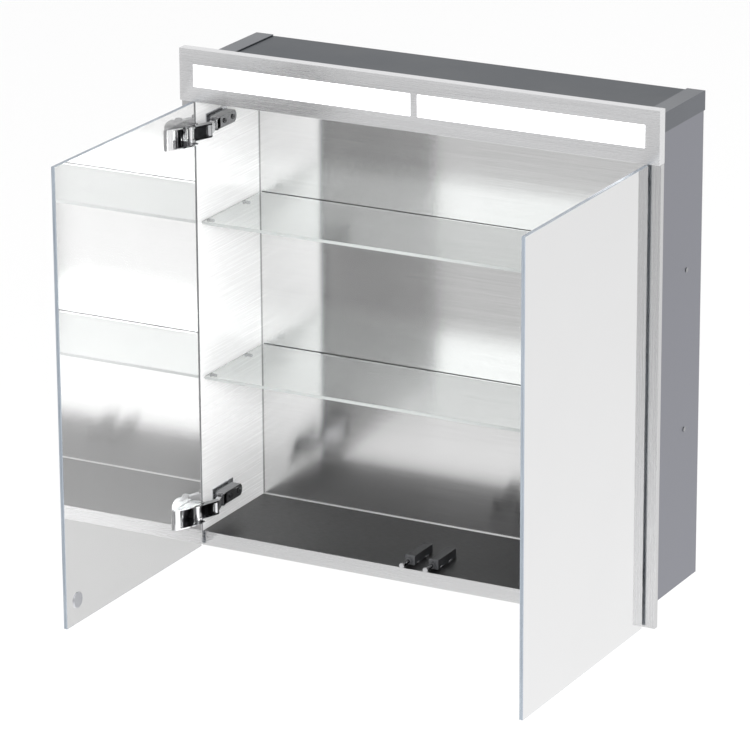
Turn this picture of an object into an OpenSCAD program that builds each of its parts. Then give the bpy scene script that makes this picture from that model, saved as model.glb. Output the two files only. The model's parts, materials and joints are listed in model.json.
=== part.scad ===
// Built-in double-door mirror cabinet with a lit top panel.
// X runs to the right, Y runs back to the wall, Z runs up.
// Origin: centre of the flat back face.

/* [Front] */
// overall width of the front
front_w = 800; // [760:10:900]
// overall height of the front
front_h = 800; // [760:10:900]
// distance from the front of the light panel to the back face
depth = 202; // [190:2:240]
// how far the front stands past the box on every side
overlap = 22; // [20:1:26]
// height of the light panel
panel_h = 82; // [78:1:90]
// depth of the light panel's folded rim
panel_rim = 17; // [16:1:18]
// height of a lit window
window_h = 34.2; // [26:0.2:36]
// bar between the two windows
window_bar = 11.8; // [10:0.2:16]
// margin beside each window
window_side = 24.2; // [24:0.2:30]
// height of the window's lower edge above the panel's lower edge
window_low = 23.8; // [22:0.2:26]

/* [Box] */
// thickness of the sheet metal
sheet = 1.2; // [1:0.1:1.5]
// set-back of the front frame behind the light panel
frame_back = 6; // [6:0.5:8]
// depth of the frame's folded rim
frame_rim = 10; // [8:1:14]
// leg width of the corner angles
angle_leg = 30; // [24:1:34]
// thickness of the corner angles
angle_t = 2; // [1.5:0.5:3]

/* [Shelves] */
// thickness of a glass shelf
shelf_t = 5; // [4:0.5:6]
// height of the upper shelf's top above the middle
shelf_rise = 125; // [100:5:150]
// distance of a shelf's front edge behind the light panel
shelf_front = 16; // [14:1:30]
// radius of a shelf pin
pin_r = 2.5; // [2:0.25:3]

/* [Doors] */
// thickness of one mirror pane
pane_t = 3; // [2.5:0.25:3]
// gap between the doors and above them
door_gap = 2; // [2:0.5:4]
// radius of the keeper disc
disc_r = 12.5; // [10:0.5:14]
// thickness of the keeper disc
disc_t = 1.5; // [1:0.25:1.5]

/* [Touch latches] */
// half the width of the latch barrel
barrel_r = 7.2; // [6.5:0.1:7.4]
// length of the latch barrel
barrel_len = 62; // [54:2:64]
// radius of the sliding plunger
plunger_r = 3.2; // [2.8:0.1:3.4]
// how far the tip stands out while its door is open
latch_out = 13; // [10:0.5:13]

/* [Hinges] */
// height of the upper hinge above the middle
hinge_up = 277.5; // [270:1:282]
// depth of the lower hinge below the middle
hinge_low = 330.5; // [320:1:340]
// half the height of a hinge cup
cup_half = 16.5; // [16:0.25:18]
// radius of the hinge pins
hinge_pin_r = 2; // [1.8:0.1:2.2]
// running gap round a hinge pin
run_gap = 0.05; // [0.03:0.01:0.08]

/* [Hidden] */
$fn = 48;
half_w = front_w / 2;
half_h = front_h / 2;
box_x = half_w - overlap;
box_z = half_h - overlap;
in_x = box_x - sheet;
in_z = box_z - sheet;
front_y = -depth;
frame_y = front_y + frame_back;
panel_z = half_h - panel_h;
window_w = (front_w - 2 * window_side - window_bar) / 2;
window_z = panel_z + window_low;
door_t = 2 * pane_t;
door_w = half_w - door_gap / 2;
door_top = panel_z - 1;
door_bot = -half_h;
door_h = door_top - door_bot;
// a hinge is drawn from the left end of the front, measured in and back
wall_x = overlap + sheet;
pivot_a = [40, 34];
pivot_b = [50.8, 0];
pivot_c = [38, -34];
door_face = 24;
door_edge = 0.5;
glue_t = 0.8;
cup_t = 2;
cup_x = door_face + glue_t;
link_r = 5;
arm_half = 9.5;
arm_x = 45;
arm_t = 1.5;
cheek_in = 8.5;
cheek_out = 11;
hinge_heights = [hinge_up, -hinge_low];
latch_z = -in_z + barrel_r + 0.4;
latch_x = [-20, 20.5];
disc_x = [-32, 32];
disc_z = latch_z + 6.3;
tip_y = frame_y + 1.5 - latch_out;
barrel_y = frame_y + 16;
pins_y = [front_y + 38, front_y + 149];

// ---- helpers ----
// a block given by its two opposite corners
module block(low, high) {
  translate(low) cube(high - low);
}
// an upright round bar between two heights
module post(at, r, low, high) {
  translate([at[0], at[1], low]) cylinder(r = r, h = high - low);
}
// a round bar along Y
module rod_y(at, r, low, high) {
  translate([at[0], low, at[1]]) rotate([-90, 0, 0]) cylinder(r = r, h = high - low);
}
// a round bar along X
module rod_x(at, r, low, high) {
  translate([low, at[0], at[1]]) rotate([0, 90, 0]) cylinder(r = r, h = high - low);
}
// a flat bar with round ends, seen from above, its straight sides just inside the rounds
module bar(a, b, r, low, high) {
  d = b - a;
  len = norm(d);
  turn = atan2(d[1], d[0]);
  translate([0, 0, low]) linear_extrude(height = high - low) {
    translate(a) circle(r = r);
    translate(b) circle(r = r);
    translate(a) rotate(turn) translate([0, -0.97 * r]) square([len, 1.94 * r]);
  }
}
// puts both hinges of the left side in place
module at_left_hinges() {
  for (z = hinge_heights) translate([-half_w, front_y, z]) children();
}
module at_right_hinges() {
  mirror([1, 0, 0]) at_left_hinges() children();
}

// ---- box ----
module back_panel() {
  color([0.72, 0.73, 0.75]) difference() {
    block([-box_x, -sheet, -box_z], [box_x, 0, box_z]);
    for (x = [-300, 300]) rod_y([x, 350], 4, -5, 5);
    rod_y([240, 348], 8, -5, 5);
  }
}
module side_panel() {
  difference() {
    block([-box_x, frame_y + sheet, -box_z], [-in_x, -sheet, box_z]);
    for (y = pins_y) for (z = [shelf_rise, -shelf_rise])
      rod_x([y, z - shelf_t - pin_r], pin_r, -box_x - 5, -in_x + 5);
  }
}
module side_left() {
  color([0.70, 0.71, 0.74]) side_panel();
}
module side_right() {
  color([0.70, 0.71, 0.74]) mirror([1, 0, 0]) side_panel();
}
module floor_panel() {
  color([0.66, 0.67, 0.69]) block([-in_x, frame_y + sheet, -box_z], [in_x, -sheet, -in_z]);
}
module top_panel() {
  color([0.60, 0.61, 0.64]) block([-in_x, front_y + panel_rim + 2, in_z], [in_x, -sheet, box_z]);
}
module ceiling_panel() {
  color([0.72, 0.73, 0.75]) block([-in_x, front_y + 20, panel_z], [in_x, -sheet, panel_z + sheet]);
}
module corner_angle() {
  y0 = front_y + panel_rim + 0.2;
  out_x = box_x + angle_t;
  out_z = box_z + angle_t;
  block([-out_x, y0, box_z], [-out_x + angle_leg, 0, out_z]);
  block([-out_x, y0, out_z - angle_leg], [-box_x, 0, out_z]);
}
module corner_angle_left() {
  color([0.50, 0.51, 0.54]) corner_angle();
}
module corner_angle_right() {
  color([0.50, 0.51, 0.54]) mirror([1, 0, 0]) corner_angle();
}
module stile() {
  rim_y = frame_y + frame_rim;
  block([-half_w, frame_y, -half_h], [-in_x, frame_y + sheet, panel_z]);
  block([-half_w, frame_y, -half_h], [-half_w + sheet, rim_y, panel_z]);
  block([-box_x - sheet, frame_y, -box_z - sheet], [-box_x, frame_y + 13, panel_z]);
  block([-half_w, frame_y, -half_h], [-in_x, rim_y, -half_h + sheet]);
}
module stile_left() {
  color([0.78, 0.79, 0.81]) stile();
}
module stile_right() {
  color([0.78, 0.79, 0.81]) mirror([1, 0, 0]) stile();
}
module bottom_rail() {
  color([0.78, 0.79, 0.81]) {
    block([-in_x, frame_y, -half_h], [in_x, frame_y + sheet, -in_z]);
    block([-in_x, frame_y, -half_h], [in_x, frame_y + frame_rim, -half_h + sheet]);
    block([-in_x, frame_y, -box_z - sheet], [in_x, frame_y + 13, -box_z]);
  }
}

// ---- light panel ----
module fascia() {
  color([0.80, 0.80, 0.82]) difference() {
    block([-half_w, front_y, panel_z], [half_w, front_y + panel_rim, half_h]);
    block([-half_w + sheet, front_y + sheet, panel_z + sheet],
      [half_w - sheet, 0, half_h - sheet]);
    block([-half_w + sheet, front_y + 5.9, panel_z - 1], [half_w - sheet, 0, half_h - sheet]);
    for (x = [-half_w + window_side, window_bar / 2])
      block([x, front_y - 5, window_z], [x + window_w, front_y + 5, window_z + window_h]);
  }
}
module diffuser(x) {
  gap = 0.2;
  block([x + gap, front_y + 0.1, window_z + gap],
    [x + window_w - gap, front_y + sheet, window_z + window_h - gap]);
  block([x - 5, front_y + sheet, window_z - 5],
    [x + window_w + 5, front_y + 4.2, window_z + window_h + 5]);
}
module diffuser_left() {
  color([0.97, 0.98, 1.0]) diffuser(-half_w + window_side);
}
module diffuser_right() {
  color([0.97, 0.98, 1.0]) diffuser(window_bar / 2);
}
module light_tray() {
  color([0.92, 0.92, 0.92]) difference() {
    block([-in_x + 1, front_y + 4.4, panel_z + 4], [in_x - 1, front_y + 40, in_z - 0.4]);
    block([-in_x + 2, front_y, panel_z + 5], [in_x - 2, front_y + 39, in_z - 1.4]);
    for (s = [-1, 1]) block([s * 150 - 6, front_y + 30, panel_z + 10], [s * 150 + 6, 0, panel_z + 16]);
  }
}
module led_boards() {
  z = panel_z + 30;
  color([0.90, 0.92, 0.90]) for (s = [-1, 1]) difference() {
    block([s * 190 - 170, front_y + 37.4, z - 8], [s * 190 + 170, front_y + 39, z + 8]);
    for (e = [-160, 160]) rod_y([s * 190 + e, z], 1.6, front_y + 30, front_y + 45);
  }
}
module led_chips() {
  z = panel_z + 30;
  color([1.0, 0.98, 0.90]) for (s = [-1, 1]) for (i = [0:11]) {
    x = s * 190 - 148 + i * 27;
    block([x - 2.5, front_y + 36.4, z - 2.5], [x + 2.5, front_y + 37.4, z + 2.5]);
  }
}
module led_driver() {
  z0 = panel_z + sheet;
  color([0.93, 0.93, 0.93]) difference() {
    union() {
      block([-90, -124, z0 + 2], [70, -82, z0 + 32]);
      block([-100, -124, z0], [80, -82, z0 + 2]);
      block([-86, -120, z0 + 32], [66, -86, z0 + 33]);
    }
    for (x = [-95, 75]) post([x, -103], 2, z0 - 2, z0 + 4);
    for (y = [-114, -103, -92]) rod_x([y, z0 + 12], 2, 62, 90);
  }
}
module terminal_block() {
  z0 = panel_z + sheet;
  color([0.96, 0.96, 0.94]) difference() {
    block([150, -60, z0], [186, -42, z0 + 16]);
    for (x = [157, 168, 179]) {
      post([x, -51], 2.2, z0 + 8, z0 + 20);
      rod_y([x, z0 + 6], 1.8, -62, -40);
    }
  }
}
module cable_grommet() {
  color([0.10, 0.10, 0.11]) translate([240, 0, 348]) rotate([90, 0, 0]) rotate_extrude()
    polygon([[4, 0], [8, 0], [8, sheet], [11, sheet], [11, 3.2], [9.5, 5.2], [4, 5.2]]);
}

// ---- shelves ----
module shelf(top) {
  difference() {
    block([-in_x + 1.5, front_y + shelf_front, top - shelf_t], [in_x - 1.5, -sheet - 2, top]);
    for (s = [-1, 1]) translate([s * (in_x - 1.5), front_y + shelf_front, top - shelf_t - 1])
      rotate([0, 0, 45]) cube([2, 2, 2 * shelf_t + 4], center = true);
  }
}
module shelf_upper() {
  color([0.80, 0.90, 0.88, 0.4]) shelf(shelf_rise);
}
module shelf_lower() {
  color([0.80, 0.90, 0.88, 0.4]) shelf(-shelf_rise);
}
// one pin: a head outside, a shank through the side and a collar inside
module shelf_pin(y, z) {
  rod_x([y, z], pin_r, -box_x - 0.2, -in_x + 11);
  rod_x([y, z], pin_r + 1.4, -box_x - 1.2, -box_x);
  rod_x([y, z], pin_r + 1.2, -in_x, -in_x + 1.2);
}
module shelf_pins() {
  color([0.75, 0.76, 0.78]) for (s = [0, 1]) mirror([s, 0, 0])
    for (y = pins_y) for (z = [shelf_rise, -shelf_rise]) shelf_pin(y, z - shelf_t - pin_r);
}

// ---- hinges, fixed side ----
module mounting_plate() {
  difference() {
    union() {
      block([wall_x, 36, -13], [wall_x + 2, 99, 13]);
      block([wall_x + 2, 48, -7.4], [arm_x - 8, 90, 7.4]);
    }
    for (y = [57, 82]) rod_x([y, 0], 2.05, wall_x + 3, arm_x);
  }
}
module mounting_plates() {
  color([0.62, 0.63, 0.66]) {
    at_left_hinges() mounting_plate();
    at_right_hinges() mounting_plate();
  }
}
module hinge_arm() {
  rear = 93;
  difference() {
    union() {
      for (s = [-1, 1]) {
        z0 = s > 0 ? arm_half - arm_t : -arm_half;
        bar([pivot_a[0], pivot_a[1]], [pivot_a[0] - 5, 60], 6.5, z0, z0 + arm_t);
        block([wall_x + 4, 42, z0], [arm_x, rear - 6, z0 + arm_t]);
      }
      block([arm_x - arm_t, 44, -arm_half], [arm_x, rear - 6, arm_half]);
      intersection() {
        rod_x([rear - 11, 0], 11, wall_x + 4, arm_x);
        block([wall_x + 4, rear - 6, -arm_half], [arm_x, rear + 2, arm_half]);
      }
    }
    post(pivot_a, hinge_pin_r, -30, 30);
    block([wall_x, 40, -arm_half + arm_t], [arm_x - arm_t, rear - 2, arm_half - arm_t]);
    rod_x([82, 0], 2.2, wall_x, arm_x + 5);
    rod_x([54, 0], 2.4, wall_x, arm_x + 5);
    rod_x([60, 0], 2.4, wall_x, arm_x + 5);
    block([wall_x, 54, -2.4], [arm_x + 5, 60, 2.4]);
  }
}
module hinge_arms() {
  color([0.80, 0.81, 0.83]) {
    at_left_hinges() hinge_arm();
    at_right_hinges() hinge_arm();
  }
}
module arm_screw(y) {
  difference() {
    union() {
      rod_x([y, 0], 4, arm_x, arm_x + 1.8);
      rod_x([y, 0], 2, wall_x + 3.5, arm_x + 1);
    }
    block([arm_x + 0.8, y - 2.6, -0.5], [arm_x + 5, y + 2.6, 0.5]);
    block([arm_x + 0.8, y - 0.5, -2.6], [arm_x + 5, y + 0.5, 2.6]);
  }
}
module arm_screws() {
  color([0.70, 0.71, 0.73]) for (y = [57, 82]) {
    at_left_hinges() arm_screw(y);
    at_right_hinges() arm_screw(y);
  }
}
// a pin with a flat round head at each end
module riveted_pin(at, half) {
  post(at, hinge_pin_r, -half - 0.5, half + 0.5);
  post(at, hinge_pin_r + 1.3, half, half + 0.8);
  post(at, hinge_pin_r + 1.3, -half - 0.8, -half);
}
module arm_pins() {
  color([0.85, 0.85, 0.87]) {
    at_left_hinges() riveted_pin(pivot_a, arm_half);
    at_right_hinges() riveted_pin(pivot_a, arm_half);
  }
}

// ---- hinges, moving links ----
module inner_link() {
  difference() {
    union() {
      bar(pivot_a, pivot_b, link_r - 1.2, -7.6, 7.6);
      post(pivot_a, link_r, -7.8, 7.8);
      post(pivot_b, link_r, -8.3, 8.3);
    }
    post(pivot_a, hinge_pin_r + run_gap, -30, 30);
    post(pivot_b, hinge_pin_r + run_gap, -30, 30);
  }
}
module outer_link() {
  d = pivot_c - pivot_b;
  len = norm(d);
  turn = atan2(d[1], d[0]);
  difference() {
    union() {
      bar(pivot_b, pivot_c, link_r + 0.3, cheek_in, cheek_out);
      bar(pivot_b, pivot_c, link_r + 0.3, -cheek_out, -cheek_in);
      post(pivot_c, 4.2, -14.2, 14.2);
      translate([pivot_b[0], pivot_b[1], 0]) rotate([0, 0, turn])
        block([8, 2.4, -cheek_in - 1], [len, 3.4, cheek_in + 1]);
    }
    post(pivot_b, hinge_pin_r, -30, 30);
    post(pivot_c, hinge_pin_r + run_gap, -30, 30);
  }
}
module link_pin() {
  post(pivot_b, hinge_pin_r, -cheek_out, cheek_out);
}
module inner_links_left() {
  color([0.76, 0.77, 0.79]) at_left_hinges() inner_link();
}
module inner_links_right() {
  color([0.76, 0.77, 0.79]) at_right_hinges() inner_link();
}
module outer_links_left() {
  color([0.82, 0.83, 0.85]) at_left_hinges() outer_link();
}
module outer_links_right() {
  color([0.82, 0.83, 0.85]) at_right_hinges() outer_link();
}
module link_pins_left() {
  color([0.85, 0.85, 0.87]) at_left_hinges() link_pin();
}
module link_pins_right() {
  color([0.85, 0.85, 0.87]) at_right_hinges() link_pin();
}

// ---- doors, drawn standing open ----
// outline of a cup's top plate: a rectangle cut by a shallow arc
module cup_outline(grow) {
  intersection() {
    translate([cup_x, -86]) square([22.2, 58.5]);
    translate([-64.7, -14.1]) circle(r = 114.2 + grow, $fn = 192);
  }
}
module cup() {
  top_in = cup_half - cup_t;
  difference() {
    union() {
      translate([0, 0, top_in]) linear_extrude(height = cup_t) cup_outline(0);
      translate([0, 0, -cup_half]) linear_extrude(height = cup_t) cup_outline(0);
      block([cup_x, -86, -cup_half], [cup_x + 2, -27.5, cup_half]);
      translate([0, 0, -cup_half]) linear_extrude(height = 2 * cup_half) intersection() {
        difference() {
          cup_outline(0);
          cup_outline(-2);
        }
        translate([cup_x, -90]) square([6.4, 20]);
      }
    }
    post(pivot_c, hinge_pin_r, -30, 30);
    // room for the links' joint when the door is closed
    post([34.2, -70.1], 6.2, -11.8, 11.8);
  }
}
module glue_pad() {
  block([door_face, -84, -cup_half + 1], [cup_x, -30, cup_half - 1]);
}
module front_pane() {
  block([door_face - door_t, door_edge - door_w, door_bot],
    [door_face - pane_t, door_edge, door_top]);
}
module back_pane() {
  block([door_face - pane_t, door_edge - door_w, door_bot],
    [door_face, door_edge, door_top]);
}
module keeper(x) {
  rod_x([-(half_w + x) + door_edge, disc_z], disc_r, door_face, door_face + disc_t - 0.4);
  rod_x([-(half_w + x) + door_edge, disc_z], disc_r - 0.4, door_face, door_face + disc_t);
}
module at_left() {
  translate([-half_w, front_y, 0]) children();
}
module at_right() {
  mirror([1, 0, 0]) at_left() children();
}
module cups_left() {
  color([0.86, 0.87, 0.89]) at_left_hinges() cup();
}
module cups_right() {
  color([0.86, 0.87, 0.89]) at_right_hinges() cup();
}
module cup_pins_left() {
  color([0.85, 0.85, 0.87]) at_left_hinges() riveted_pin(pivot_c, cup_half);
}
module cup_pins_right() {
  color([0.85, 0.85, 0.87]) at_right_hinges() riveted_pin(pivot_c, cup_half);
}
module glue_pads_left() {
  color([0.55, 0.56, 0.58]) at_left_hinges() glue_pad();
}
module glue_pads_right() {
  color([0.55, 0.56, 0.58]) at_right_hinges() glue_pad();
}
module front_pane_left() {
  color([0.88, 0.90, 0.92]) at_left() front_pane();
}
module front_pane_right() {
  color([0.88, 0.90, 0.92]) at_right() front_pane();
}
module back_pane_left() {
  color([0.84, 0.87, 0.90]) at_left() back_pane();
}
module back_pane_right() {
  color([0.84, 0.87, 0.90]) at_right() back_pane();
}
module keeper_left() {
  color([0.65, 0.66, 0.68]) at_left() keeper(disc_x[0]);
}
module keeper_right() {
  color([0.65, 0.66, 0.68]) at_right() keeper(-disc_x[1]);
}

// ---- touch latches ----
module latch_barrel(x) {
  bore = plunger_r + 0.06;
  difference() {
    union() {
      block([x - barrel_r, barrel_y + 2, latch_z - barrel_r],
        [x + barrel_r, barrel_y + barrel_len, latch_z + barrel_r]);
      block([x - barrel_r - 1, barrel_y, latch_z - barrel_r],
        [x + barrel_r + 1, barrel_y + 2.5, latch_z + barrel_r + 1]);
      rod_y([x, latch_z], barrel_r - 2.2, barrel_y - 6, barrel_y + 2);
    }
    rod_y([x, latch_z], bore, barrel_y - 10, barrel_y + barrel_len - 8);
  }
}
module latch_barrels() {
  color([0.30, 0.31, 0.33]) for (x = latch_x) latch_barrel(x);
}
// a cradle under and beside each barrel, fixed to the floor
module latch_clips() {
  color([0.62, 0.63, 0.65]) for (x = latch_x) for (y = [barrel_y + 14, barrel_y + 42]) difference() {
    block([x - barrel_r - 1.2, y - 4, -in_z], [x + barrel_r + 1.2, y + 4, -in_z + 3]);
    block([x - barrel_r, y - 10, latch_z - barrel_r], [x + barrel_r, y + 10, latch_z]);
  }
}
module plunger(x) {
  rod_y([x, latch_z], plunger_r, tip_y + 4, barrel_y + barrel_len - 24 - latch_out);
}
module latch_tip(x) {
  rod_y([x, latch_z], 4.2, tip_y, tip_y + 2.4);
  rod_y([x, latch_z], plunger_r, tip_y + 2.4, tip_y + 4);
}
module plunger_left() {
  color([0.70, 0.71, 0.73]) plunger(latch_x[0]);
}
module plunger_right() {
  color([0.70, 0.71, 0.73]) plunger(latch_x[1]);
}
module latch_tip_left() {
  color([0.80, 0.81, 0.83]) latch_tip(latch_x[0]);
}
module latch_tip_right() {
  color([0.80, 0.81, 0.83]) latch_tip(latch_x[1]);
}

back_panel();
side_left();
side_right();
floor_panel();
top_panel();
ceiling_panel();
corner_angle_left();
corner_angle_right();
stile_left();
stile_right();
bottom_rail();
fascia();
diffuser_left();
diffuser_right();
light_tray();
led_boards();
led_chips();
led_driver();
terminal_block();
cable_grommet();
shelf_upper();
shelf_lower();
shelf_pins();
mounting_plates();
hinge_arms();
arm_screws();
arm_pins();
inner_links_left();
inner_links_right();
outer_links_left();
outer_links_right();
link_pins_left();
link_pins_right();
cups_left();
cups_right();
cup_pins_left();
cup_pins_right();
glue_pads_left();
glue_pads_right();
front_pane_left();
front_pane_right();
back_pane_left();
back_pane_right();
keeper_left();
keeper_right();
latch_barrels();
latch_clips();
plunger_left();
plunger_right();
latch_tip_left();
latch_tip_right();
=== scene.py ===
import json
import math

import bmesh
import bpy
from mathutils import Matrix, Vector


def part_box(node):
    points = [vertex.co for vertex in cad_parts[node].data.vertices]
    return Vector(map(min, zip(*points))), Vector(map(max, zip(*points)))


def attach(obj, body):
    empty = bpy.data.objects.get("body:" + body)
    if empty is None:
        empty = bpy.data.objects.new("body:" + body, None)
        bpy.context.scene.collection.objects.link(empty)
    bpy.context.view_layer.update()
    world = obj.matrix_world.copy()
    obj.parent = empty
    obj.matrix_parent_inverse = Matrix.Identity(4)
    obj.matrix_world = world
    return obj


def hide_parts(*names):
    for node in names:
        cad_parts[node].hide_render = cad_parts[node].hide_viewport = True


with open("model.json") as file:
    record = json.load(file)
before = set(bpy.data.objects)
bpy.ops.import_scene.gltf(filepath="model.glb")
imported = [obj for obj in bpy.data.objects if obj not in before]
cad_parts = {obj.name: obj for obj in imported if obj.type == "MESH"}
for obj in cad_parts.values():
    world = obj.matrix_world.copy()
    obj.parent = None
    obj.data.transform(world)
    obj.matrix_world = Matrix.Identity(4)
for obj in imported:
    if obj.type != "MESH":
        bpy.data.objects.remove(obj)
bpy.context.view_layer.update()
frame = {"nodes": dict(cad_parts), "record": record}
SLOTS = {row["node"]: row["material_slot"] for row in frame["record"]["subparts"]}
BODIES = {
    node: body
    for body, members in frame["record"]["behaviour"]["bodies"].items()
    for node in members
}
# where the sheets meet the back of the box (the start of the painted seam shade on the side sheets and of
# the painted highlight on the floor's fold), and the ends of the floor's painted shade gradient
SIDE_SEAM_SHADE = -0.0038
FLOOR_FOLD_HIGHLIGHT = -0.0046
FLOOR_SHADE_RUN = (-0.37, 0.34)
# the outer face of each side sheet, measured from the middle
SIDE_FACE = 0.3774
HINGE_EASE = 0.0005
# how far the latch barrel's rim reaches behind its front end
RIM_REACH = 0.0086


# ---- material building blocks ----
def start_material(name):
    material = bpy.data.materials.new(name)
    material.use_nodes = True
    tree = material.node_tree
    return material, tree.nodes, tree.links, tree.nodes["Principled BSDF"]


def grain(nodes, links, scale, stretch=(1, 1, 1), detail=3.0, roughness=0.5):
    """Noise on the piece's own coordinates, drawn out along one axis for a brushed finish."""
    place = nodes.new("ShaderNodeTexCoord")
    mapping = nodes.new("ShaderNodeMapping")
    mapping.inputs["Scale"].default_value = stretch
    noise = nodes.new("ShaderNodeTexNoise")
    noise.inputs["Scale"].default_value = scale
    noise.inputs["Detail"].default_value = detail
    noise.inputs["Roughness"].default_value = roughness
    links.new(place.outputs["Object"], mapping.inputs["Vector"])
    links.new(mapping.outputs["Vector"], noise.inputs["Vector"])
    return noise.outputs["Fac"]


def spread(nodes, links, value, low, high, start=0.3, stop=0.7):
    ranged = nodes.new("ShaderNodeMapRange")
    ranged.inputs["From Min"].default_value = start
    ranged.inputs["From Max"].default_value = stop
    ranged.inputs["To Min"].default_value = low
    ranged.inputs["To Max"].default_value = high
    links.new(value, ranged.inputs["Value"])
    return ranged.outputs["Result"]


def mixed(nodes, links, factor, first, second):
    """A colour between two others. Each is a colour or another node's output."""
    mix = nodes.new("ShaderNodeMix")
    mix.data_type = "RGBA"
    links.new(factor, mix.inputs["Factor"])
    for socket, value in ((mix.inputs[6], first), (mix.inputs[7], second)):
        if isinstance(value, tuple):
            socket.default_value = (*value, 1.0)
        else:
            links.new(value, socket)
    return mix.outputs[2]


def mixed_value(nodes, links, factor, first, second):
    mix = nodes.new("ShaderNodeMix")
    mix.data_type = "FLOAT"
    links.new(factor, mix.inputs["Factor"])
    for socket, value in ((mix.inputs[2], first), (mix.inputs[3], second)):
        if isinstance(value, float):
            socket.default_value = value
        else:
            links.new(value, socket)
    return mix.outputs[0]


def relief(nodes, links, shader, height, distance, strength=0.4):
    bump = nodes.new("ShaderNodeBump")
    bump.inputs["Strength"].default_value = strength
    bump.inputs["Distance"].default_value = distance
    links.new(height, bump.inputs["Height"])
    links.new(bump.outputs["Normal"], shader.inputs["Normal"])


def coordinate(nodes, links, axis):
    """The piece's own coordinate along one axis."""
    place = nodes.new("ShaderNodeTexCoord")
    parts = nodes.new("ShaderNodeSeparateXYZ")
    links.new(place.outputs["Object"], parts.inputs["Vector"])
    return parts.outputs["XYZ".index(axis)]


def calculated(nodes, links, operation, value, number=None):
    step = nodes.new("ShaderNodeMath")
    step.operation = operation
    links.new(value, step.inputs[0])
    if number is not None:
        step.inputs[1].default_value = number
    return step.outputs[0]


def beyond(nodes, links, axis, limit, both_sides=False, width=0.0002):
    """1 where the piece's own coordinate on an axis is past a limit, else 0."""
    value = coordinate(nodes, links, axis)
    if both_sides:
        value = calculated(nodes, links, "ABSOLUTE", value)
    return spread(nodes, links, value, 0.0, 1.0, limit - width, limit + width)


def away_from(nodes, links, axis, centre, half, width=0.0008):
    """0 within a distance of a place along one of the piece's own axes, 1 farther away."""
    shifted = calculated(nodes, links, "SUBTRACT", coordinate(nodes, links, axis), centre)
    size = calculated(nodes, links, "ABSOLUTE", shifted)
    return spread(nodes, links, size, 0.0, 1.0, half - width, half + width)


def colour(nodes, links, shader, factor, first, second, start=0.3, stop=0.7):
    """Base colour between two tones, following a noise value."""
    tone = mixed(nodes, links, spread(nodes, links, factor, 0.0, 1.0, start, stop), first, second)
    links.new(tone, shader.inputs["Base Color"])


def along(nodes, links, shader, direction):
    """Sets the way in which a brushed surface draws its highlights out."""
    vector = nodes.new("ShaderNodeCombineXYZ")
    for socket, value in zip(vector.inputs, direction):
        socket.default_value = value
    links.new(vector.outputs["Vector"], shader.inputs["Tangent"])


# ---- finishes ----
def brushed_steel(name, dark, light, rough=(0.18, 0.26), run="X", draw=0.0, relief_depth=0.00002):
    """Stainless steel with a directional brushed grain that runs along one axis."""
    material, nodes, links, shader = start_material(name)
    fine = tuple(6 if axis == run else 1400 for axis in "XYZ")
    broad = tuple(3 if axis == run else 420 for axis in "XYZ")
    lines = grain(nodes, links, 1.0, fine, 4.0, 0.65)
    bands = grain(nodes, links, 1.0, broad, 3.0)
    tone = mixed_value(nodes, links, spread(nodes, links, bands, 0.15, 0.4), lines, bands)
    colour(nodes, links, shader, tone, dark, light)
    links.new(spread(nodes, links, lines, *rough), shader.inputs["Roughness"])
    shader.inputs["Metallic"].default_value = 1.0
    if draw:
        shader.inputs["Anisotropic"].default_value = draw
        along(nodes, links, shader, (0, 0, 1) if run == "X" else (1, 0, 0))
    relief(nodes, links, shader, lines, relief_depth)
    return material


def two_sided_sheet(
    name, inner, outer, axis, limit, both_sides=False, rough_in=(0.2, 0.3), rough_out=(0.3, 0.38),
    run="X", polish=1.0,
):
    """One sheet, brushed on the inside of the box and plain mill finish on the outside."""
    material, nodes, links, shader = start_material(name)
    fine = tuple(6 if a == run else 1400 for a in "XYZ")
    lines = grain(nodes, links, 1.0, fine, 2.0, 0.5)
    cloud = grain(nodes, links, 9.0, (1, 1, 1), 4.0)
    outside = beyond(nodes, links, axis, limit, both_sides)
    tone_in = mixed(nodes, links, spread(nodes, links, lines, 0.0, 1.0), *inner)
    # painted shade along the seam where the sheet meets the back of the box
    tone_in = mixed(nodes, links, beyond(nodes, links, "Y", SIDE_SEAM_SHADE), tone_in, (0.38, 0.38, 0.38))
    tone_out = mixed(nodes, links, spread(nodes, links, cloud, 0.0, 1.0), *outer)
    links.new(mixed(nodes, links, outside, tone_in, tone_out), shader.inputs["Base Color"])
    dull_in = spread(nodes, links, lines, *rough_in)
    dull_out = spread(nodes, links, cloud, *rough_out)
    links.new(mixed_value(nodes, links, outside, dull_in, dull_out), shader.inputs["Roughness"])
    links.new(mixed_value(nodes, links, outside, polish, 1.0), shader.inputs["Metallic"])
    relief(nodes, links, shader, mixed_value(nodes, links, outside, 0.5, cloud), 0.000004, 0.2)
    return material


def mill_steel(name, dark, light, rough=(0.3, 0.38), edge=1.0):
    """Smooth rolled sheet with faint clouding and fine scratches."""
    material, nodes, links, shader = start_material(name)
    cloud = grain(nodes, links, 7.0, (1, 1, 1), 5.0)
    scratch = grain(nodes, links, 1.0, (300, 40, 300), 3.0, 0.7)
    tone = mixed_value(nodes, links, spread(nodes, links, scratch, 0.1, 0.4), cloud, scratch)
    colour(nodes, links, shader, tone, dark, light)
    links.new(spread(nodes, links, cloud, *rough), shader.inputs["Roughness"])
    shader.inputs["Metallic"].default_value = 1.0
    shader.inputs["Specular Tint"].default_value = (edge, edge, edge, 1)
    relief(nodes, links, shader, scratch, 0.00001, 0.3)
    return material


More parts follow.
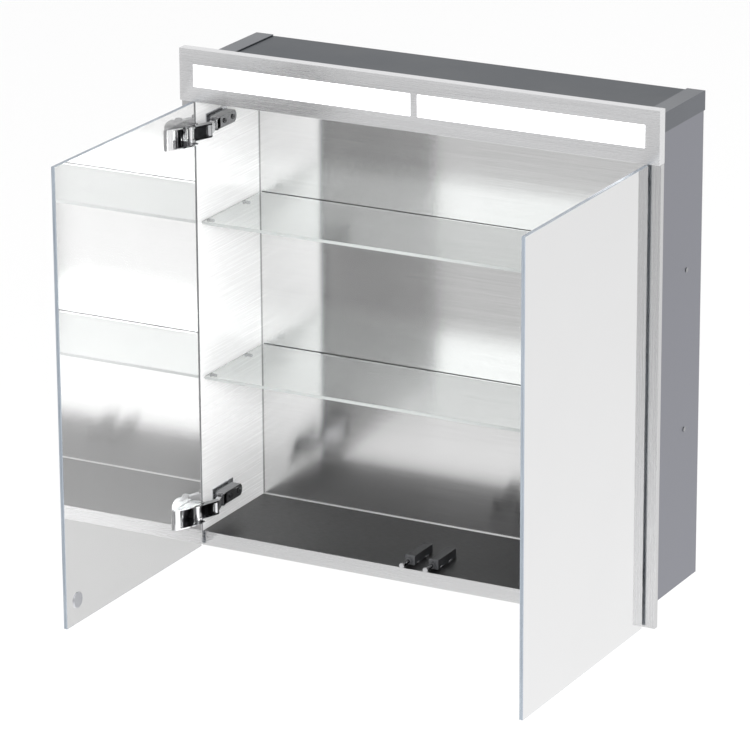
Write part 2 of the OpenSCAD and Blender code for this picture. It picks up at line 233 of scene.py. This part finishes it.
def floor_steel(name, dark, light, shade_dark, shade_light):
    """The box's floor: a short, matt grain with fine specks, with painted shade darkening it towards the
    right.
    """
    material, nodes, links, shader = start_material(name)
    lines = grain(nodes, links, 1.0, (90, 1300, 1300), 4.0, 0.7)
    specks = grain(nodes, links, 700.0, (1, 1, 1), 2.0)
    tone = mixed_value(nodes, links, spread(nodes, links, specks, 0.2, 0.7), lines, specks)
    speckle = spread(nodes, links, tone, 0.0, 1.0, 0.35, 0.65)
    # painted shade: the floor's tone darkens from left to right
    shade_across = spread(nodes, links, coordinate(nodes, links, "X"), 0.0, 1.0, *FLOOR_SHADE_RUN)
    near = mixed(nodes, links, speckle, dark, light)
    shaded_far = mixed(nodes, links, speckle, shade_dark, shade_light)
    sheet = mixed(nodes, links, shade_across, near, shaded_far)
    # a painted highlight along the fold where the floor meets the back of the box
    fold_highlighted = mixed(nodes, links, beyond(nodes, links, "Y", FLOOR_FOLD_HIGHLIGHT), sheet, (0.9, 0.9, 0.9))
    links.new(fold_highlighted, shader.inputs["Base Color"])
    links.new(spread(nodes, links, specks, 0.34, 0.5), shader.inputs["Roughness"])
    shader.inputs["Metallic"].default_value = 1.0
    shader.inputs["Specular Tint"].default_value = (0.6, 0.6, 0.6, 1)
    relief(nodes, links, shader, tone, 0.00004, 0.5)
    return material


def chrome(name, tone=(0.86, 0.86, 0.87), rough=(0.04, 0.12)):
    """Polished plate with fine wear: duller patches and faint handling marks."""
    material, nodes, links, shader = start_material(name)
    wear = grain(nodes, links, 160.0, (1, 1, 1), 5.0)
    duller = tuple(0.82 * c for c in tone)
    colour(nodes, links, shader, wear, tone, duller, 0.45, 0.75)
    links.new(spread(nodes, links, wear, *rough), shader.inputs["Roughness"])
    shader.inputs["Metallic"].default_value = 1.0
    relief(nodes, links, shader, wear, 0.00002, 0.15)
    return material


def chrome_painted_reflections(name, bright, dark, reflected_streak_tone, centre, half):
    """Polished plate on a curved pressing, with painted reflections: a painted bright reflection at its
    ends, with darker painted reflection streaks between.
    """
    material, nodes, links, shader = start_material(name)
    streaks = grain(nodes, links, 1.0, (150, 150, 7), 2.0, 0.4)
    wear = grain(nodes, links, 220.0, (1, 1, 1), 4.0)
    middle = mixed(nodes, links, spread(nodes, links, streaks, 0.0, 1.0, 0.49, 0.57), dark, reflected_streak_tone)
    ends = away_from(nodes, links, "Y", centre, half)
    links.new(mixed(nodes, links, ends, middle, bright), shader.inputs["Base Color"])
    links.new(spread(nodes, links, wear, 0.03, 0.1), shader.inputs["Roughness"])
    shader.inputs["Metallic"].default_value = 1.0
    relief(nodes, links, shader, wear, 0.00002, 0.15)
    return material


def mirror_face(name, tone, silvering=1.0):
    """Silvered glass seen from its bright side. Under 1, a satin white veil lies over the silvering."""
    material, nodes, links, shader = start_material(name)
    haze = grain(nodes, links, 5.0, (1, 1, 1), 3.0)
    lower = tuple(0.985 * c for c in tone)
    colour(nodes, links, shader, haze, tone, lower)
    links.new(spread(nodes, links, haze, 0.004, 0.012), shader.inputs["Roughness"])
    shader.inputs["Metallic"].default_value = silvering
    relief(nodes, links, shader, haze, 0.00001, 0.02)
    return material


def glass_edge(name, dark, light):
    """The ground edge of a thick pane: blue-gray, satin, with darker streaks along it."""
    material, nodes, links, shader = start_material(name)
    streaks = grain(nodes, links, 1.0, (900, 60, 12), 3.0)
    colour(nodes, links, shader, streaks, dark, light)
    links.new(spread(nodes, links, streaks, 0.12, 0.25), shader.inputs["Roughness"])
    shader.inputs["Metallic"].default_value = 0.35
    shader.inputs["Coat Weight"].default_value = 0.4
    shader.inputs["Coat Roughness"].default_value = 0.05
    relief(nodes, links, shader, streaks, 0.00003, 0.2)
    return material


def shelf_glass(name):
    """Clear float glass with a faint green cast and the least surface ripple."""
    material, nodes, links, shader = start_material(name)
    ripple = grain(nodes, links, 6.0, (1, 1, 1), 2.0)
    colour(nodes, links, shader, ripple, (0.95, 0.975, 0.965), (0.93, 0.965, 0.95))
    links.new(spread(nodes, links, ripple, 0.0, 0.01), shader.inputs["Roughness"])
    shader.inputs["Transmission Weight"].default_value = 1.0
    shader.inputs["IOR"].default_value = 1.5
    relief(nodes, links, shader, ripple, 0.00002, 0.03)
    return material


def shelf_edge(name):
    """The shelf's ground and polished edge, where the glass shows its own green-gray."""
    material, nodes, links, shader = start_material(name)
    streaks = grain(nodes, links, 1.0, (30, 700, 900), 3.0)
    colour(nodes, links, shader, streaks, (0.8, 0.84, 0.83), (0.92, 0.95, 0.94))
    links.new(spread(nodes, links, streaks, 0.1, 0.22), shader.inputs["Roughness"])
    shader.inputs["Transmission Weight"].default_value = 0.5
    shader.inputs["IOR"].default_value = 1.5
    relief(nodes, links, shader, streaks, 0.00002, 0.2)
    return material


def moulded(name, dark, light, rough=(0.35, 0.5), size=900.0, depth=0.00004):
    """Moulded plastic or rubber with a fine pebbled skin."""
    material, nodes, links, shader = start_material(name)
    skin = grain(nodes, links, size, (1, 1, 1), 2.0)
    drift = grain(nodes, links, 25.0, (1, 1, 1), 3.0)
    colour(nodes, links, shader, drift, dark, light)
    links.new(spread(nodes, links, skin, *rough), shader.inputs["Roughness"])
    relief(nodes, links, shader, skin, depth, 0.4)
    return material


def lit_window(name):
    """Opal acrylic, lit evenly from behind."""
    material, nodes, links, shader = start_material(name)
    drift = grain(nodes, links, 12.0, (1, 1, 1), 2.0)
    glow = mixed(nodes, links, spread(nodes, links, drift, 0.0, 1.0), (1.0, 1.0, 1.0), (0.98, 0.99, 1.0))
    links.new(glow, shader.inputs["Base Color"])
    links.new(glow, shader.inputs["Emission Color"])
    links.new(spread(nodes, links, drift, 0.3, 0.36), shader.inputs["Roughness"])
    shader.inputs["Emission Strength"].default_value = 1.3
    return material


FINISHES = {
    "inner_steel": brushed_steel(
        "BrushedBackSteel", (0.8, 0.8, 0.8), (0.88, 0.88, 0.88), (0.12, 0.17), "X", 0.93, 0.00001,
    ),
    "side_steel": two_sided_sheet(
        "SideSheet", ((0.978, 0.978, 0.978), (0.988, 0.988, 0.988)),
        ((0.225, 0.229, 0.258), (0.245, 0.249, 0.28)),
        "X", SIDE_FACE, True, (0.262, 0.278), (0.32, 0.4), "Y", 0.12,
    ),
    # the last two tones are the painted shade at the floor's right end
    "floor_steel": floor_steel(
        "FloorSheet", (0.15, 0.15, 0.152), (0.27, 0.27, 0.272), (0.01, 0.01, 0.0105), (0.035, 0.035, 0.036),
    ),
    # painted shade: the top sheet is toned far darker than the outer face of the side sheets
    "top_steel": mill_steel("TopSheet", (0.075, 0.083, 0.094), (0.096, 0.106, 0.12), edge=0.8),
    "angle_steel": mill_steel("CornerAngleSheet", (0.12, 0.127, 0.142), (0.15, 0.158, 0.175)),
    "frame_steel": brushed_steel(
        "StileSteel", (0.53, 0.53, 0.535), (0.59, 0.59, 0.595), (0.2, 0.3), "Z", 0.0, 0.000008,
    ),
    "rail_steel": brushed_steel(
        "RailSteel", (0.5, 0.5, 0.505), (0.58, 0.58, 0.585), (0.2, 0.3), "X", 0.0, 0.000008,
    ),
    "fascia_steel": brushed_steel(
        "FasciaSteel", (0.69, 0.69, 0.7), (0.77, 0.77, 0.78), (0.22, 0.3), "X", 0.7, 0.000008,
    ),
    "lit_window": lit_window("OpalWindow"),
    "white_tray": moulded("WhiteTrayPaint", (0.78, 0.78, 0.78), (0.84, 0.84, 0.84), (0.3, 0.4), 300.0),
    "led_board": moulded("LedBoard", (0.74, 0.78, 0.75), (0.8, 0.83, 0.8), (0.4, 0.5), 500.0),
    "led_chip": lit_window("LedPhosphor"),
    "driver_case": moulded("DriverCase", (0.8, 0.8, 0.79), (0.86, 0.86, 0.85)),
    "terminal_plastic": moulded("TerminalPlastic", (0.82, 0.82, 0.8), (0.88, 0.88, 0.86)),
    "black_rubber": moulded("GrommetRubber", (0.012, 0.012, 0.013), (0.03, 0.03, 0.032), (0.5, 0.7)),
    "shelf_glass": shelf_glass("ShelfGlass"),
    "pin_steel": chrome("PinSteel", (0.3, 0.305, 0.315), (0.08, 0.18)),
    "plate_steel": chrome("PlateSteel", (0.6, 0.61, 0.63), (0.15, 0.28)),
    "hinge_chrome": chrome("HingeChrome", (0.24, 0.243, 0.25), (0.06, 0.14)),
    "screw_steel": chrome("ScrewSteel", (0.16, 0.16, 0.165), (0.12, 0.25)),
    "link_steel": chrome("LinkChrome", (0.6, 0.605, 0.62), (0.05, 0.14)),
    "glue_pad": moulded("AdhesivePad", (0.3, 0.31, 0.33), (0.4, 0.41, 0.43), (0.5, 0.6)),
    "outer_mirror": mirror_face("OuterSilvering", (0.75, 0.75, 0.752)),
    "inner_mirror": mirror_face("InnerSilvering", (0.845, 0.845, 0.845), 0.74),
    "keeper_steel": chrome("KeeperSteel", (0.6, 0.61, 0.64), (0.15, 0.25)),
    "latch_body": moulded("LatchBody", (0.014, 0.0145, 0.016), (0.03, 0.031, 0.034), (0.4, 0.55)),
    "latch_clip": chrome("ClipSteel", (0.5, 0.5, 0.52), (0.2, 0.3)),
    "plunger_steel": chrome("PlungerSteel", (0.09, 0.09, 0.095), (0.16, 0.28)),
    "tip_metal": chrome("TipMetal", (0.45, 0.45, 0.46), (0.12, 0.22)),
}
PANE_EDGE = glass_edge("PaneEdge", (0.2, 0.23, 0.27), (0.33, 0.37, 0.41))
SHELF_EDGE = shelf_edge("ShelfEdge")
# the cup and link fronts carry painted reflections: bright ends, with dark and gray streaks between
CUP_FRONT = chrome_painted_reflections(
    "CupFrontChrome", (0.93, 0.93, 0.94), (0.03, 0.03, 0.034), (0.6, 0.6, 0.61), -0.236, 0.026,
)
LINK_FRONT = chrome_painted_reflections(
    "LinkFrontChrome", (0.9, 0.9, 0.91), (0.05, 0.05, 0.055), (0.09, 0.09, 0.095), -0.218, 0.0155,
)
LATCH_RIM = moulded("LatchRim", (0.05, 0.051, 0.055), (0.08, 0.082, 0.087), (0.4, 0.55))


# ---- making pieces ----
def finish_mesh(bm, name, node, *materials, sharp=15):
    """Turns a bmesh into a piece that stands for a CAD node. Flat work keeps flat shading."""
    bmesh.ops.recalc_face_normals(bm, faces=bm.faces)
    mesh = bpy.data.meshes.new(name)
    bm.to_mesh(mesh)
    bm.free()
    for material in materials or (FINISHES[SLOTS[node]],):
        mesh.materials.append(material)
    mesh.shade_smooth()
    mesh.set_sharp_from_angle(angle=math.radians(sharp))
    piece = bpy.data.objects.new(name, mesh)
    bpy.context.scene.collection.objects.link(piece)
    if sharp > 20:
        weigh = piece.modifiers.new("FlatFacesLead", "WEIGHTED_NORMAL")
        weigh.keep_sharp = True
    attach(piece, BODIES[node])
    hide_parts(node)
    return piece


def merged_copy(node):
    """The CAD node's faces as one welded bmesh, flat areas dissolved."""
    bm = bmesh.new()
    bm.from_mesh(frame["nodes"][node].data)
    bmesh.ops.remove_doubles(bm, verts=bm.verts, dist=0.000004)
    bmesh.ops.dissolve_limit(bm, angle_limit=math.radians(1.0), verts=bm.verts, edges=bm.edges)
    return bm


def eased(node, width, *materials, segments=2, corner=28, sharp=15):
    """A CAD node with its sharp edges eased, as folded, ground or moulded edges are."""
    bm = merged_copy(node)
    edges = [e for e in bm.edges if len(e.link_faces) == 2 and e.calc_face_angle(0.0) > math.radians(corner)]
    bmesh.ops.bevel(
        bm, geom=edges, offset=width, offset_type="OFFSET", affect="EDGES",
        segments=segments, profile=0.5, material=-1, clamp_overlap=True,
    )
    return finish_mesh(bm, node.title().replace("_", ""), node, *materials, sharp=sharp)


def pane(node, bright, width=0.0009):
    """A mirror pane: silvered on its two broad faces, with ground, eased edges."""
    low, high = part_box(node)
    bm = bmesh.new()
    bmesh.ops.create_cube(bm, size=1.0)
    bmesh.ops.scale(bm, vec=high - low, verts=bm.verts)
    bmesh.ops.translate(bm, vec=(high + low) / 2, verts=bm.verts)
    bmesh.ops.bevel(
        bm, geom=list(bm.edges), offset=width, offset_type="OFFSET", affect="EDGES",
        segments=2, profile=0.5, material=-1,
    )
    for face in bm.faces:
        face.material_index = 0 if abs(face.normal.x) > 0.98 else 1
    return finish_mesh(bm, node.title().replace("_", ""), node, FINISHES[bright], PANE_EDGE)


def dress(node):
    for slot in frame["nodes"][node].material_slots:
        slot.material = FINISHES[SLOTS[node]]


EASED = {
    "stile_left": 0.0004, "stile_right": 0.0004, "bottom_rail": 0.0004, "fascia": 0.0004,
    "corner_angle_left": 0.0006, "corner_angle_right": 0.0006,
    "diffuser_left": 0.0003, "diffuser_right": 0.0003,
    "mounting_plates": 0.0004, "hinge_arms": 0.0004, "arm_screws": 0.0002, "arm_pins": 0.0003,
    "inner_links_left": 0.0005, "inner_links_right": 0.0005,
    "link_pins_left": 0.0002, "link_pins_right": 0.0002,
    "cup_pins_left": 0.0003, "cup_pins_right": 0.0003,
    "shelf_pins": 0.0003, "latch_clips": 0.0003,
    "keeper_left": 0.0003, "keeper_right": 0.0003,
    "latch_tip_left": 0.0006, "latch_tip_right": 0.0006,
    "led_driver": 0.0008, "terminal_block": 0.0006, "cable_grommet": 0.0004,
}
for node in frame["nodes"]:
    dress(node)
ROUNDED = (
    "mounting_plates", "hinge_arms", "arm_screws", "arm_pins", "inner_links_left", "inner_links_right",
    "link_pins_left", "link_pins_right",
    "cup_pins_left", "cup_pins_right", "shelf_pins", "latch_clips", "keeper_left", "keeper_right",
    "latch_tip_left", "latch_tip_right", "cable_grommet",
)
for node, width in EASED.items():
    eased(node, width, sharp=40 if node in ROUNDED else 15)
for side in ("left", "right"):
    for node, front in ((f"cups_{side}", CUP_FRONT), (f"outer_links_{side}", LINK_FRONT)):
        part = eased(node, HINGE_EASE, FINISHES[SLOTS[node]], front, sharp=40)
        for face in part.data.polygons:
            face.material_index = 0 if abs(face.normal.z) > 0.6 else 1
    pane(f"front_pane_{side}", "outer_mirror")
    pane(f"back_pane_{side}", "inner_mirror")
for node in ("shelf_upper", "shelf_lower"):
    shelf = eased(node, 0.0006, FINISHES["shelf_glass"], SHELF_EDGE)
    for face in shelf.data.polygons:
        face.material_index = 1 if face.normal.y < -0.3 else 0

barrels = eased("latch_barrels", HINGE_EASE, FINISHES["latch_body"], LATCH_RIM, sharp=40)
rim_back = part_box("latch_barrels")[0].y + RIM_REACH
for face in barrels.data.polygons:
    face.material_index = 1 if face.center.y < rim_back else 0

# ---- studio ----
def card(name, centre, size, facing, emission):
    """A flat card that only shows in reflections."""
    bm = bmesh.new()
    bmesh.ops.create_grid(bm, x_segments=1, y_segments=1, size=0.5)
    bmesh.ops.scale(bm, vec=(size[0], size[1], 1), verts=bm.verts)
    turn = Vector(facing).to_track_quat("Z", "Y").to_matrix().to_4x4()
    bmesh.ops.transform(bm, matrix=Matrix.Translation(Vector(centre)) @ turn, verts=bm.verts)
    mesh = bpy.data.meshes.new(name)
    bm.to_mesh(mesh)
    bm.free()
    material, nodes, links, shader = start_material(name)
    shader.inputs["Base Color"].default_value = (0, 0, 0, 1)
    shader.inputs["Roughness"].default_value = 1.0
    shader.inputs["Specular IOR Level"].default_value = 0.0
    shader.inputs["Emission Color"].default_value = (1, 1, 1, 1)
    shader.inputs["Emission Strength"].default_value = emission
    mesh.materials.append(material)
    flag = bpy.data.objects.new(name, mesh)
    bpy.context.scene.collection.objects.link(flag)
    flag.visible_camera = False
    flag.visible_diffuse = False
    flag.visible_shadow = False
    flag.visible_transmission = False


floor_mesh = bpy.data.meshes.new("StudioFloor")
bm = bmesh.new()
bmesh.ops.create_grid(bm, x_segments=1, y_segments=1, size=14.0)
bmesh.ops.translate(bm, vec=(0, 0, -1.2), verts=bm.verts)
bm.to_mesh(floor_mesh)
bm.free()
floor_paint, nodes, links, shader = start_material("StudioFloorPaint")
shader.inputs["Base Color"].default_value = (0.95, 0.95, 0.95, 1)
shader.inputs["Roughness"].default_value = 0.9
floor_mesh.materials.append(floor_paint)
studio_floor = bpy.data.objects.new("StudioFloor", floor_mesh)
bpy.context.scene.collection.objects.link(studio_floor)

card("LowFlag", (0.16, -1.39, -0.4), (0.3, 1.5), (-0.477, 0.879, 0), 0.03)
# a gray card under the cabinet, seen only in reflections: painted shade standing for the shadow beneath the
# cabinet
card("UnderFlag", (-0.16, 0.12, -0.7), (0.5, 0.54), (0, -1, 0), 0.55)
card("FrontGround", (-2.2, -3.9, -1.15), (3.4, 3.4), (0, 0, 1), 0.5)

world = bpy.data.worlds.new("StudioWorld")
world.use_nodes = True
world.node_tree.nodes["Background"].inputs["Color"].default_value = (1, 1, 1, 1)
world.node_tree.nodes["Background"].inputs["Strength"].default_value = 1.0
bpy.context.scene.world = world


def soft_light(name, place, aim, size, power):
    light = bpy.data.lights.new(name, "AREA")
    light.shape = "RECTANGLE"
    light.size, light.size_y = size
    light.energy = power
    lamp = bpy.data.objects.new(name, light)
    bpy.context.scene.collection.objects.link(lamp)
    lamp.location = place
    lamp.rotation_euler = (Vector(aim) - Vector(place)).to_track_quat("-Z", "Y").to_euler()
    return lamp


fill = soft_light("InteriorFill", (1.6, -2.6, 0.9), (-0.38, -0.1, 0), (1.2, 1.2), 75)
fill.visible_glossy = False
key = soft_light("KeySoftbox", (-3.5, -4.0, 3.5), (0, 0, 0), (3.0, 3.0), 60)
key.visible_glossy = False
soft_light("FillSoftbox", (4.5, -3.5, 2.5), (0, 0, 0), (3.0, 3.0), 30)

# ---- camera ----
YAW, PITCH, ROLL = 0.49317396, 0.32325393, -0.00547438
forward = Vector((-math.sin(YAW) * math.cos(PITCH), math.cos(YAW) * math.cos(PITCH), -math.sin(PITCH)))
level = Vector((math.cos(YAW), math.sin(YAW), 0))
upward = level.cross(forward)
right = math.cos(ROLL) * level + math.sin(ROLL) * upward
above = -math.sin(ROLL) * level + math.cos(ROLL) * upward
camera_data = bpy.data.cameras.new("StudioCamera")
camera_data.sensor_width = 36.0
camera_data.lens = 223.6414
camera_data.clip_start, camera_data.clip_end = 0.1, 60.0
camera = bpy.data.objects.new("StudioCamera", camera_data)
bpy.context.scene.collection.objects.link(camera)
place = Matrix.Translation((3.0913721, -6.0780780, 2.1688309))
camera.matrix_world = place @ Matrix((right, above, -forward)).transposed().to_4x4()
bpy.context.scene.camera = camera
bpy.context.scene.view_settings.view_transform = "Standard"
